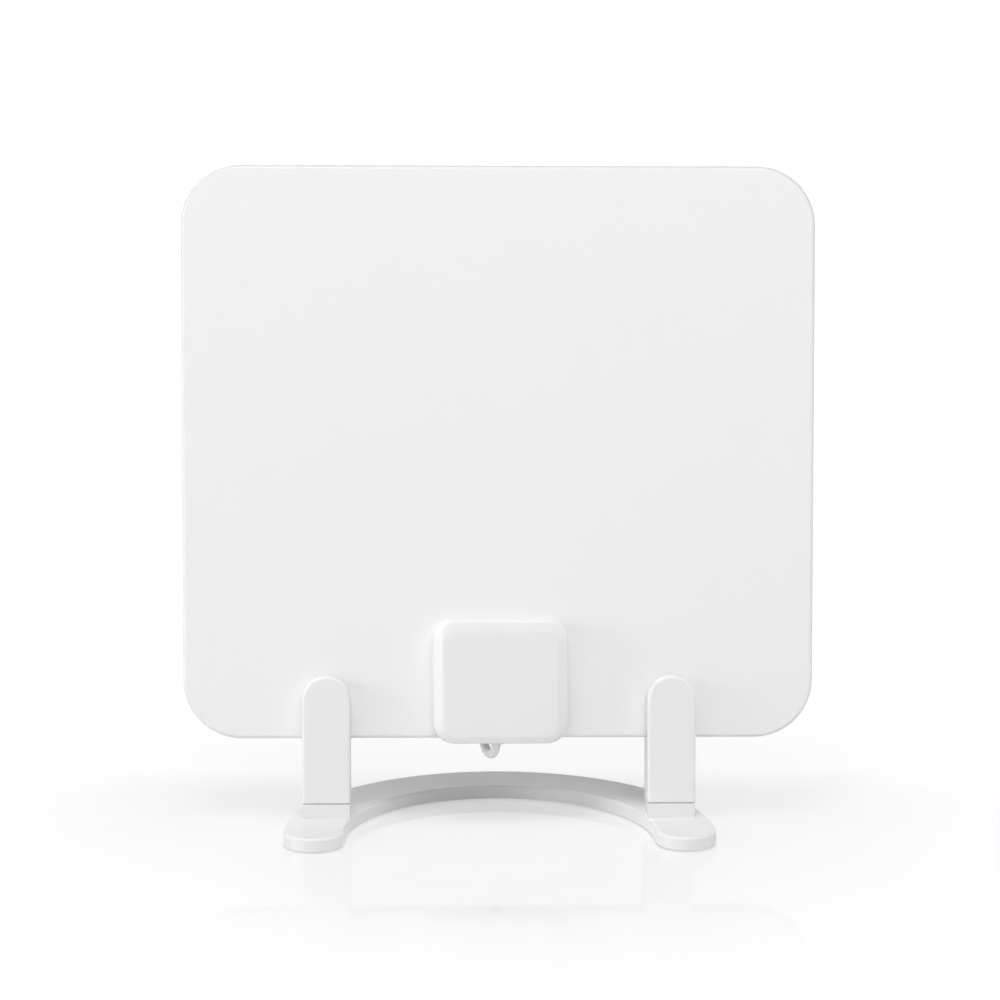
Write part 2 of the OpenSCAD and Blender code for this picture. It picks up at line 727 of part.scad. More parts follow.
module plug_shell() {
    color("silver") plug_axis() difference() {
        union() {
            translate([0, 0, shell_z]) cylinder(d = shell_d - 2 * shell_step, h = shell_seat + 1, $fn = round_n);
            translate([0, 0, shell_z + shell_seat]) cylinder(d = shell_d, h = shell_len, $fn = round_n);
        }
        translate([0, 0, shell_z - 1])
            cylinder(d = shell_d - 2 * shell_wall, h = shell_seat + shell_len + 2, $fn = round_n);
        for (a = [0, 90]) rotate([0, 0, a])
            translate([-shell_d, -slit_w / 2, shell_z + shell_seat + shell_len - slit_len])
                cube([2 * shell_d, slit_w, slit_len + 1]);
    }
}

module plug_insulator() {
    color("ivory") plug_axis() difference() {
        translate([0, 0, shell_z]) cylinder(d = shell_d - 2 * shell_wall, h = insulator_len, $fn = round_n);
        translate([0, 0, shell_z + pin_floor]) cylinder(d = pin_d, h = insulator_len, $fn = round_n);
    }
}

module plug_pin() {
    tip_z = shell_z + shell_seat + pin_len;
    color("gold") plug_axis() rotate_extrude($fn = soft_n) polygon([
        [0, shell_z + pin_floor], [pin_d / 2, shell_z + pin_floor], [pin_d / 2, tip_z - 0.8],
        [pin_d / 4, tip_z], [0, tip_z]]);
}

stand_base();
upright_left();
upright_right();
upright_screws();
foot_pads();
panel_front();
panel_back();
antenna_sheet();
element_left();
element_right();
box_cover();
box_screws();
amp_board();
amp_shield();
amp_parts();
contact_springs();
cable_clamp();
cable_grommet();
cable();
cable_hank();
cable_tail();
cable_tie();
plug_body();
plug_shell();
plug_insulator();
plug_pin();
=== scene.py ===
"""Looks of a flat indoor aerial: a thin panel with an amplifier box, on two uprights and an arched base."""
import logging
import math
from dataclasses import dataclass
from enum import Enum
from typing import Callable, Iterable, Sequence

import bmesh
import bpy
from mathutils import Matrix, Vector


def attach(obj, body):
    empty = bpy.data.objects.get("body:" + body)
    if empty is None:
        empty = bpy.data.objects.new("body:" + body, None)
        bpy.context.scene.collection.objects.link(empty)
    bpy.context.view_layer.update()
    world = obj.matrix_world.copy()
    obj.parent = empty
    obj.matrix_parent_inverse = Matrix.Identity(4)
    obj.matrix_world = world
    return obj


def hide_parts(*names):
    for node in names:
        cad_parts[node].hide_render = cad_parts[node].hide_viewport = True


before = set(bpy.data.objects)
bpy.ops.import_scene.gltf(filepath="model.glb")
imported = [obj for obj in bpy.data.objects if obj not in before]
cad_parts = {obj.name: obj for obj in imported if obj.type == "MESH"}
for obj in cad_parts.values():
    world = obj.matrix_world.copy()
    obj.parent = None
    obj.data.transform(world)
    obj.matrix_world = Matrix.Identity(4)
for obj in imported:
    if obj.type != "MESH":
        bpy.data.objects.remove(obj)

logging.basicConfig(level=logging.INFO, format="%(message)s")
log = logging.getLogger("aerial")

Point = tuple[float, float, float]
MM = 0.001
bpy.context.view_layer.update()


class Finish(Enum):
    """The named finishes that the pieces of the aerial are given."""

    WHITE = "white_plastic"
    PANEL = "panel_white"
    BASE = "base_white"
    PAD = "pad_rubber"
    SCREW = "screw_steel"
    FILM = "carrier_film"
    FOIL = "element_foil"
    BOARD = "board_laminate"
    CAN = "can_steel"
    CHIP = "chip_body"
    BRASS = "spring_brass"
    GROMMET = "grommet_rubber"
    JACKET = "cable_jacket"
    TIE = "tie_plastic"
    PLUG = "plug_plastic"
    NICKEL = "plug_metal"
    INSULATOR = "insulator_plastic"


@dataclass(frozen=True)
class Leaning:
    """The leaning frame of the panel: depth 0 is its face, height 0 is its lower edge."""

    face_y: float = -8.8
    edge_z: float = 30.0
    degrees: float = 8.0

    def matrix(self) -> Matrix:
        """Gives the change from the leaning frame in millimetres to the world in metres."""
        turn = Matrix.Rotation(math.radians(-self.degrees), 4, "X")
        return Matrix.Scale(MM, 4) @ Matrix.Translation((0, self.face_y, self.edge_z)) @ turn

    def point(self, x: float, y: float, z: float) -> Vector:
        """Gives the world place of a point of the leaning frame."""
        return self.matrix() @ Vector((x, y, z))


LEAN = Leaning()


class Term:
    """A number on a node's socket that can be used in a Python expression."""

    def __init__(self, graph: "Graph", socket: bpy.types.NodeSocket) -> None:
        """Wraps one output socket.

        Args:
            graph: The node graph that the socket belongs to.
            socket: The output socket that carries the number.
        """
        self.graph = graph
        self.socket = socket

    def __add__(self, other: "Term | float") -> "Term":
        """Adds a value."""
        return self.graph.math("ADD", self, other)

    def __radd__(self, other: float) -> "Term":
        """Adds a value from the left."""
        return self.graph.math("ADD", other, self)

    def __sub__(self, other: "Term | float") -> "Term":
        """Takes a value away."""
        return self.graph.math("SUBTRACT", self, other)

    def __rsub__(self, other: float) -> "Term":
        """Is taken away from a value."""
        return self.graph.math("SUBTRACT", other, self)

    def __mul__(self, other: "Term | float") -> "Term":
        """Multiplies by a value."""
        return self.graph.math("MULTIPLY", self, other)

    def __rmul__(self, other: float) -> "Term":
        """Multiplies a value from the left."""
        return self.graph.math("MULTIPLY", other, self)

    def centred(self) -> "Term":
        """Moves a value between 0 and 1 so that it lies evenly round 0."""
        return self - 0.5

    def clamped(self) -> "Term":
        """Holds the value between 0 and 1."""
        return self.graph.math("MINIMUM", self.graph.math("MAXIMUM", self, 0.0), 1.0)


class Graph:
    """Adds nodes to a shader tree or a geometry tree."""

    def __init__(self, tree: bpy.types.NodeTree) -> None:
        """Starts on an existing tree.

        Args:
            tree: The tree that the nodes go into.
        """
        self.tree = tree

    def add(self, kind: str, settings: dict | None = None, inputs: dict | None = None) -> bpy.types.Node:
        """Adds any node.

        Args:
            kind: The node's type name.
            settings: Properties that are set before the inputs, such as a Math node's operation.
            inputs: Values or links by the input's name or place.

        Returns:
            The new node.
        """
        node = self.tree.nodes.new(kind)
        for name, value in (settings or {}).items():
            setattr(node, name, value)
        for name, value in (inputs or {}).items():
            socket = node.inputs[name]
            if isinstance(value, Term):
                self.tree.links.new(value.socket, socket)
            elif isinstance(value, bpy.types.NodeSocket):
                self.tree.links.new(value, socket)
            else:
                socket.default_value = value
        return node

    def term(self, node: bpy.types.Node, output: str | int = 0) -> Term:
        """Wraps a node's output for use in an expression."""
        return Term(self, node.outputs[output])

    def math(self, operation: str, *values: Term | float) -> Term:
        """Adds a Math node with the given inputs in order."""
        return self.term(self.add("ShaderNodeMath", {"operation": operation}, dict(enumerate(values))))


class Recipe:
    """One material under construction: its graph, its surface shader and its pattern space."""

    def __init__(self, name: str) -> None:
        """Makes an empty node material.

        Args:
            name: The material's name.
        """
        self.material = bpy.data.materials.new(name)
        self.material.use_nodes = True
        self.material.node_tree.nodes.clear()
        self.graph = Graph(self.material.node_tree)
        self.surface = self.graph.add("ShaderNodeBsdfPrincipled")
        self.output = self.graph.add("ShaderNodeOutputMaterial")
        self.graph.tree.links.new(self.surface.outputs[0], self.output.inputs[0])
        self.place = self.graph.add("ShaderNodeTexCoord").outputs["Object"]

    def noise(self, size: float, detail: float = 2.0, roughness: float = 0.5) -> Term:
        """Gives soft noise between 0 and 1.

        Args:
            size: The size of one blotch in metres.
            detail: How many finer layers it has.
            roughness: How strong the finer layers are.

        Returns:
            The noise value.
        """
        node = self.graph.add("ShaderNodeTexNoise", {}, {
            "Vector": self.place, "Scale": 1.0 / size, "Detail": detail, "Roughness": roughness})
        return self.graph.term(node)

    def speckle(self, size: float) -> Term:
        """Gives the distance to the nearest of many scattered grains of the given size."""
        node = self.graph.add("ShaderNodeTexVoronoi", {}, {"Vector": self.place, "Scale": 1.0 / size})
        return self.graph.term(node, "Distance")

    def wire(self, output: bpy.types.NodeSocket, label: str) -> None:
        """Links a node's output to one of the surface shader's sockets."""
        self.graph.tree.links.new(output, self.surface.inputs[label])

    def tint(self, low: Sequence[float], high: Sequence[float], share: Term) -> None:
        """Colours the surface between two colours.

        Args:
            low: The colour where share is 0.
            high: The colour where share is 1.
            share: Where the surface lies between the two.
        """
        mix = self.graph.add("ShaderNodeMix", {"data_type": "RGBA"}, {
            0: share, 6: (*low, 1.0), 7: (*high, 1.0)})
        self.wire(mix.outputs[2], "Base Color")

    def cover(self, colour: Sequence[float], share: Term) -> None:
        """Lays another colour over the surface's own.

        Args:
            colour: The colour on top.
            share: How much of it covers the surface.
        """
        own = self.surface.inputs["Base Color"].links[0].from_socket
        mix = self.graph.add("ShaderNodeMix", {"data_type": "RGBA"}, {
            0: share, 6: own, 7: (*colour, 1.0)})
        self.wire(mix.outputs[2], "Base Color")

    def gloss(self, roughness: Term) -> None:
        """Sets how rough the surface is."""
        self.wire(roughness.socket, "Roughness")

    def relief(self, layers: Iterable[tuple[Term, float]]) -> None:
        """Stacks fine heights on the surface.

        Args:
            layers: One or more heights between 0 and 1, each with its full depth in metres.
        """
        below: dict[str, bpy.types.NodeSocket] = {}
        for height, depth in layers:
            bump = self.graph.add("ShaderNodeBump", {}, {
                "Height": height, "Distance": depth, "Strength": 1.0, **below})
            below = {"Normal": bump.outputs[0]}
        self.wire(below["Normal"], "Normal")

    def fixed(self, **values: float) -> None:
        """Sets what is the same all over the surface on the shader's own sockets."""
        for name, value in values.items():
            self.surface.inputs[name.replace("_", " ")].default_value = value


class Surface:
    """A kind of surface; each kind fills a recipe in its own way."""

    def fill(self, recipe: Recipe) -> None:
        """Puts the surface's nodes together."""
        raise NotImplementedError

    def build(self, name: str) -> bpy.types.Material:
        """Makes the material.

        Args:
            name: The material's name.

        Returns:
            The finished material.
        """
        recipe = Recipe(name)
        self.fill(recipe)
        return recipe.material


@dataclass(frozen=True)
class Moulding(Surface):
    """Injection-moulded plastic with a fine spark-eroded grain and a faint swell."""

    colour: tuple[float, float, float]
    roughness: float = 0.42
    grain: float = 0.00042
    grain_depth: float = 0.000012
    swell: float = 0.045
    swell_depth: float = 0.00008
    shift: float = 0.02
    ior: float = 1.49
    grain_share: float = 0.2
    grain_gloss: float = 0.12
    cloud_gloss: float = 0.06

    def fill(self, recipe: Recipe) -> None:
        """Mixes a slow cloud with a fine grain, in colour, gloss and height.

        Args:
            recipe: The recipe that the nodes go into.
        """
        cloud = recipe.noise(self.swell, detail=3.0)
        grain = recipe.noise(self.grain, detail=2.0, roughness=0.6)
        low = [c * (1 - self.shift) for c in self.colour]
        blend = cloud * (1 - self.grain_share) + grain * self.grain_share
        recipe.tint(low, self.colour, blend.clamped())
        recipe.gloss(self.roughness + grain.centred() * self.grain_gloss + cloud.centred() * self.cloud_gloss)
        recipe.relief([(cloud, self.swell_depth), (grain, self.grain_depth)])
        recipe.fixed(IOR=self.ior)


@dataclass(frozen=True)
class RimShadedMoulding(Moulding):
    """Moulded plastic of the leaning panel, with painted shade along its rim, strongest on the top edge."""

    half_w: float = 0.105
    half_h: float = 0.095
    corner: float = 0.0195
    rim: float = 0.0013
    # Colour of the painted shade along the rim.
    rim_shade: tuple[float, float, float] = (0.60, 0.60, 0.60)
    most: float = 0.8
    least: float = 0.1

    def outline(self, recipe: Recipe) -> tuple[Term, Term]:
        """Measures places on the panel.

        Args:
            recipe: The plastic's recipe.

        Returns:
            The distance outwards from the panel's outline, and the height above its lower edge.
        """
        graph = recipe.graph
        axes = graph.add("ShaderNodeSeparateXYZ", {}, {0: recipe.place})
        x, y, z = (graph.term(axes, n) for n in ("X", "Y", "Z"))
        lean = math.radians(LEAN.degrees)
        height = (y - LEAN.face_y * MM) * math.sin(lean) + (z - LEAN.edge_z * MM) * math.cos(lean)
        side = graph.math("ABSOLUTE", x) - (self.half_w - self.corner)
        end = graph.math("ABSOLUTE", height - self.half_h) - (self.half_h - self.corner)
        out_x, out_z = graph.math("MAXIMUM", side, 0.0), graph.math("MAXIMUM", end, 0.0)
        outside = graph.math("SQRT", out_x * out_x + out_z * out_z)
        inside = graph.math("MINIMUM", graph.math("MAXIMUM", side, end), 0.0)
        return outside + inside - self.corner, height

    def fill(self, recipe: Recipe) -> None:
        """Adds the painted rim shade to the plastic.

        Args:
            recipe: The recipe that the nodes go into.
        """
        super().fill(recipe)
        # Painted shade: grey laid along the panel's rounded rim, weakest at the lower edge and strongest on
        # the top edge.
        out, height = self.outline(recipe)
        rim = ((out + self.rim) * (1 / self.rim)).clamped()
        high = (height * (0.5 / self.half_h)).clamped()
        recipe.cover(self.rim_shade, rim * (self.least + high * (self.most - self.least)))


@dataclass(frozen=True)
class Sheath(Surface):
    """The soft PVC jacket of a thin lead: smooth, with a slow unevenness from extrusion."""

    colour: tuple[float, float, float]
    roughness: float = 0.38
    dimple: float = 0.004
    depth: float = 0.00006
    finer: float = 14.0
    shallower: float = 12.0
    shade: float = 0.965
    fine_gloss: float = 0.16

    def fill(self, recipe: Recipe) -> None:
        """Mixes slow dimples with a fine roughness.

        Args:
            recipe: The recipe that the nodes go into.
        """
        slow = recipe.noise(self.dimple)
        fine = recipe.noise(self.dimple / self.finer)
        low = [c * self.shade for c in self.colour]
        recipe.tint(low, self.colour, slow)
        recipe.gloss(self.roughness + fine.centred() * self.fine_gloss)
        recipe.relief([(slow, self.depth), (fine, self.depth / self.shallower)])
        recipe.fixed(IOR=1.52)


@dataclass(frozen=True)
class Metal(Surface):
    """A plated or rolled metal with fine drawn lines and a light haze."""

    colour: tuple[float, float, float]
    roughness: float = 0.28
    haze: float = 0.012
    line: float = 0.0003
    depth: float = 0.000006
    tarnish: float = 0.88
    haze_gloss: float = 0.2
    line_gloss: float = 0.1

    def fill(self, recipe: Recipe) -> None:
        """Mixes a haze with fine lines.

        Args:
            recipe: The recipe that the nodes go into.
        """
        haze = recipe.noise(self.haze, detail=3.0)
        grain = recipe.noise(self.line, detail=3.0, roughness=0.7)
        low = [c * self.tarnish for c in self.colour]
        recipe.tint(low, self.colour, haze)
        recipe.gloss(self.roughness + haze.centred() * self.haze_gloss + grain.centred() * self.line_gloss)
        recipe.relief([(grain, self.depth)])
        recipe.fixed(Metallic=1.0)


@dataclass(frozen=True)
class SoftRubber(Surface):
    """Matt moulded rubber with a dusty bloom."""

    colour: tuple[float, float, float]
    roughness: float = 0.75
    bloom: float = 0.006
    grain: float = 0.0004
    bloom_gain: float = 1.2
    bloom_lift: float = 0.01
    bloom_gloss: float = 0.12
    grain_depth: float = 0.00002
    bloom_depth: float = 0.00004

    def fill(self, recipe: Recipe) -> None:
        """Lays a dusty bloom over a fine grain.

        Args:
            recipe: The recipe that the nodes go into.
        """
        bloom = recipe.noise(self.bloom, detail=4.0, roughness=0.6)
        grain = recipe.speckle(self.grain)
        high = [min(1.0, c * self.bloom_gain + self.bloom_lift) for c in self.colour]
        recipe.tint(self.colour, high, bloom)
        recipe.gloss(self.roughness + bloom.centred() * self.bloom_gloss)
        recipe.relief([(grain, self.grain_depth), (bloom, self.bloom_depth)])
        recipe.fixed(IOR=1.5)


@dataclass(frozen=True)
class Laminate(Surface):
    """Green solder mask over a glass-fibre board, with its weave faintly showing."""

    colour: tuple[float, float, float]
    thread: float = 0.0007
    bands: float = 0.3
    wander: float = 0.4
    thread_depth: float = 0.00002
    blotch: float = 0.004
    roughness: float = 0.3
    blotch_gloss: float = 0.12
    weave_share: float = 0.6
    gain: float = 1.35

    def fill(self, recipe: Recipe) -> None:
        """Weaves two sets of threads under the mask.

        Args:
            recipe: The recipe that the nodes go into.
        """
        weave = []
        for direction in ("X", "Z"):
            wave = recipe.graph.add("ShaderNodeTexWave", {"bands_direction": direction}, {
                "Vector": recipe.place, "Scale": self.bands / self.thread, "Distortion": self.wander})
            weave.append(recipe.graph.term(wave, "Fac"))
        cloth = weave[0] * weave[1]
        cloud = recipe.noise(self.blotch)
        high = [c * self.gain for c in self.colour]
        blend = cloth * self.weave_share + cloud * (1 - self.weave_share)
        recipe.tint(self.colour, high, blend.clamped())
        recipe.gloss(self.roughness + cloud * self.blotch_gloss)
        recipe.relief([(cloth, self.thread_depth)])
        recipe.fixed(IOR=1.55)


RECIPES = {
    Finish.WHITE: Moulding((0.84, 0.84, 0.842)),
    # The panel's plastic carries painted shade along its rim.
    Finish.PANEL: RimShadedMoulding((0.885, 0.885, 0.888), roughness=0.36, shift=0.012),
    Finish.BASE: Moulding((0.83, 0.83, 0.832), roughness=0.20, grain_depth=0.000004,
                          swell_depth=0.00004, ior=1.43),
    Finish.PAD: SoftRubber((0.035, 0.035, 0.036)),
    Finish.SCREW: Metal((0.62, 0.62, 0.63), roughness=0.3),
    Finish.FILM: Moulding((0.66, 0.55, 0.38), roughness=0.35, grain=0.0008, grain_depth=0.000006),
    Finish.FOIL: Metal((0.82, 0.83, 0.84), roughness=0.22, haze=0.03),
    Finish.BOARD: Laminate((0.02, 0.12, 0.045)),
    Finish.CAN: Metal((0.70, 0.70, 0.69), roughness=0.32),
    Finish.CHIP: Moulding((0.03, 0.03, 0.032), roughness=0.5),
    Finish.BRASS: Metal((0.78, 0.60, 0.27), roughness=0.24),
    Finish.GROMMET: SoftRubber((0.62, 0.62, 0.62), roughness=0.6),
    Finish.JACKET: Sheath((0.80, 0.80, 0.80)),
    Finish.TIE: Moulding((0.03, 0.03, 0.03), roughness=0.45, grain=0.0005, grain_depth=0.00002),
    Finish.PLUG: Moulding((0.80, 0.80, 0.80), roughness=0.4),
    Finish.NICKEL: Metal((0.74, 0.73, 0.70), roughness=0.18),
    Finish.INSULATOR: Moulding((0.82, 0.80, 0.74), roughness=0.35),
}


class Workshop:
    """Makes each finish once and hands pieces over to the frame."""

    def __init__(self) -> None:
        """Starts with no materials made."""
        self.made: dict[Finish, bpy.types.Material] = {}

    def material(self, finish: Finish) -> bpy.types.Material:
        """Gives the material of a finish, and makes it when it is first asked for.

        Args:
            finish: The wanted finish.

        Returns:
            Its one material.
        """
        if finish not in self.made:
            self.made[finish] = RECIPES[finish].build(finish.value)
        return self.made[finish]

    def dress(self, finish: Finish, *nodes: str) -> None:
        """Gives CAD nodes that stay in view their finish.

        Args:
            finish: The finish of all the nodes.
            nodes: The names of the nodes.
        """
        for name in nodes:
            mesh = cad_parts[name].data
            mesh.materials.clear()
            mesh.materials.append(self.material(finish))
            log.info("%s wears %s", name, finish.value)

    def deliver(self, piece: bpy.types.Object, finish: Finish, *nodes: str) -> bpy.types.Object:
        """Places a finished piece in the frame.

        Args:
            piece: The piece, with its place in its mesh.
            finish: The finish that it wears.
            nodes: The CAD nodes that it stands for.

        Returns:
            The same piece.
        """
        if not piece.data.materials:
            piece.data.materials.append(self.material(finish))
        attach(piece, "root")
        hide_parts(*nodes)
        log.info("%s is in place and stands for %s", piece.name, ", ".join(nodes))
        return piece


def object_of(name: str, mesh: bpy.types.ID) -> bpy.types.Object:
    """Links a new object.

    Args:
        name: The object's name.
        mesh: The data that it holds.

    Returns:
        The object.
    """
    piece = bpy.data.objects.new(name, mesh)
    bpy.context.scene.collection.objects.link(piece)
    return piece


def geometry_tree(name: str, inputs: dict[str, str]) -> Graph:
    """Starts a geometry tree with named inputs and one geometry output.

    Args:
        name: The tree's name.
        inputs: The kind of each input by its label.

    Returns:
        The graph that adds the tree's nodes.
    """
    tree = bpy.data.node_groups.new(name, "GeometryNodeTree")
    for label, kind in inputs.items():
        tree.interface.new_socket(label, in_out="INPUT", socket_type="NodeSocket" + kind)
    tree.interface.new_socket("Geometry", in_out="OUTPUT", socket_type="NodeSocketGeometry")
    return Graph(tree)


def dressed_tree(graph: Graph, last: bpy.types.Node, given: bpy.types.Node) -> bpy.types.NodeTree:
    """Ends a geometry tree: sets the finish that it is given and leads the shape out.

    Args:
        graph: The tree's graph.
        last: The node that gives the finished shape.
        given: The tree's input node.

    Returns:
        The finished tree.
    """
    dressed = graph.add("GeometryNodeSetMaterial", {}, {
        "Geometry": last.outputs[0], "Material": given.outputs["Finish"]})
    graph.add("NodeGroupOutput", {}, {"Geometry": dressed.outputs[0]})
    return graph.tree


def plain_mesh(carrier: bpy.types.Object, tree: bpy.types.NodeTree, values: dict,
               name: str) -> bpy.types.Mesh:
    """Runs a geometry tree once and keeps its result as a plain mesh.

    Args:
        carrier: The object that carries the tree's modifier; both are removed.
        tree: The geometry tree.
        values: The tree's inputs by their labels.
        name: The name of the new mesh.

    Returns:
        The resulting mesh.
    """
    modifier = carrier.modifiers.new(name, "NODES")
    modifier.node_group = tree
    for item in tree.interface.items_tree:
        if item.item_type == "SOCKET" and item.in_out == "INPUT" and item.name in values:
            modifier[item.identifier] = values[item.name]
    bpy.context.view_layer.update()
    result = carrier.evaluated_get(bpy.context.evaluated_depsgraph_get())
    mesh = bpy.data.meshes.new_from_object(result)
    mesh.name = name
    mesh.validate()
    carrier.modifiers.remove(modifier)
    bpy.data.objects.remove(carrier)
    return mesh


def rounded_ring(half_w: float, half_h: float, radius: float, steps: int) -> list[tuple[float, float]]:
    """Gives the outline of a rectangle with round corners, anticlockwise from the right side.

    Args:
        half_w: Half its width.
        half_h: Half its height.
        radius: Its corner radius.
        steps: How many pieces each corner has.

    Returns:
        The points of the outline.
    """
    ring = []
    for corner, (sx, sz) in enumerate(((1, 1), (-1, 1), (-1, -1), (1, -1))):
        for i in range(steps + 1):
            angle = math.radians(90 * corner + 90 * i / steps)
            ring.append((sx * (half_w - radius) + radius * math.cos(angle),
                         sz * (half_h - radius) + radius * math.sin(angle)))
    return ring


def bridge(shell: bmesh.types.BMesh, low: Sequence[bmesh.types.BMVert],
           high: Sequence[bmesh.types.BMVert]) -> None:
    """Joins two closed rings of equal count with a band of faces.

    Args:
        shell: The mesh that the band goes into.
        low: The first ring.
        high: The second ring.
    """
    count = len(low)
    for i in range(count):
        shell.faces.new((low[i], low[(i + 1) % count], high[(i + 1) % count], high[i]))


@dataclass
class AmplifierBox:
    """The cover of the amplifier in front of the panel's lower edge, and all that it holds."""

    width: float = 45.0
    height: float = 41.5
    depth: float = 8.0
    drop: float = 1.3
    middle_x: float = 0.5
    taper: float = 3.0
    side_shoulder: float = 0.74
    end_shoulder: float = 0.92
    shoulder_round: float = 0.10
    lower: float = 0.25
    foot_share: float = 0.14
    bevel_share: float = 0.92
    ring_count: int = 36
    crowding: float = 1.4
    corner: float = 6.7
    corner_loss: float = 0.375
    least_corner: float = 1.5
    crown: float = 0.12
    front_shares: tuple[float, ...] = (0.94, 0.85, 0.7, 0.5, 0.25)
    wall: float = 1.4
    corner_steps: int = 14

    def chamfer(self, share: float, shoulder: float) -> float:
        """Gives how far a wall has come in, from a steep foot over a softened shoulder to the front.

        Args:
            share: The depth as a share of the whole depth.
            shoulder: The share of the depth at which the flat bevel starts.

        Returns:
            The inset at that depth.
        """
        bevel = (share - shoulder) / (1 - shoulder)
        eased = (bevel + math.sqrt(bevel ** 2 + self.shoulder_round ** 2)) / 2
        return self.taper * (self.foot_share * share + self.bevel_share * eased)

    def slices(self, shrink: float, depth: float) -> list[tuple[float, float, float]]:
        """Gives the rings of the cover's skin.

        Args:
            shrink: How far the skin lies inside the outer one.
            depth: How far it reaches in front of the panel.

        Returns:
            The depth of each ring, with its inset at the sides and at the ends.
        """
        rings = []
        for i in range(self.ring_count + 1):
            share = 1 - (1 - i / self.ring_count) ** self.crowding
            rings.append((depth * share, self.chamfer(share, self.side_shoulder) + shrink,
                          self.chamfer(share, self.end_shoulder) + shrink))
        return rings

    def skin(self, shell: bmesh.types.BMesh, shrink: float, depth: float) -> list[bmesh.types.BMVert]:
        """Lofts one skin of the cover and closes its front.

        Args:
            shell: The mesh that the skin goes into.
            shrink: How far the skin lies inside the outer one.
            depth: How far it reaches in front of the panel.

        Returns:
            The ring of points at the panel.
        """
        middle_z = self.height / 2 - self.drop
        rows = []
        for reach, side, end in self.slices(shrink, depth):
            centre_z = middle_z - (end - shrink) * self.lower
            radius = max(self.least_corner, self.corner - (side + end) * self.corner_loss)
            ring = rounded_ring(self.width / 2 - side, self.height / 2 - end, radius, self.corner_steps)
            rows.append([shell.verts.new((self.middle_x + x, -reach, centre_z + z)) for x, z in ring])
        for low, high in zip(rows, rows[1:]):
            bridge(shell, low, high)
        self.front(shell, rows[-1])
        return rows[0]

    def front(self, shell: bmesh.types.BMesh, rim: list[bmesh.types.BMVert]) -> None:
        """Fills the front with rings that shrink towards its middle, slightly crowned.

        Args:
            shell: The mesh that the front goes into.
            rim: The last ring of the side.
        """
        middle = sum((v.co for v in rim), Vector()) / len(rim)
        last = rim
        for share in self.front_shares:
            ring = []
            for vert in rim:
                place = middle.lerp(vert.co, share)
                place.y -= self.crown * (1 - share ** 2)
                ring.append(shell.verts.new(place))
            bridge(shell, last, ring)
            last = ring
        shell.faces.new(last)

    def cover(self) -> bpy.types.Object:
        """Builds the cover as a closed shell with a wall.

        Returns:
            The cover.
        """
        shell = bmesh.new()
        outer = self.skin(shell, 0.0, self.depth - self.crown)
        inner = self.skin(shell, self.wall, self.depth - self.wall)
        bridge(shell, outer, inner)
        bmesh.ops.recalc_face_normals(shell, faces=shell.faces)
        for face in shell.faces:
            face.smooth = True
        shell.transform(LEAN.matrix())
        mesh = bpy.data.meshes.new("box_cover_shell")
        shell.to_mesh(mesh)
        shell.free()
        return object_of("box_cover_shell", mesh)

    def build(self, shop: Workshop) -> None:
        """Places the cover and dresses what lies in it.

        Args:
            shop: The workshop that gives the finishes.
        """
        shop.deliver(self.cover(), Finish.WHITE, "box_cover")
        shop.dress(Finish.BOARD, "amp_board")
        shop.dress(Finish.CAN, "amp_shield", "cable_clamp")
        shop.dress(Finish.CHIP, "amp_parts")
        shop.dress(Finish.BRASS, "contact_springs")
        shop.dress(Finish.GROMMET, "cable_grommet")


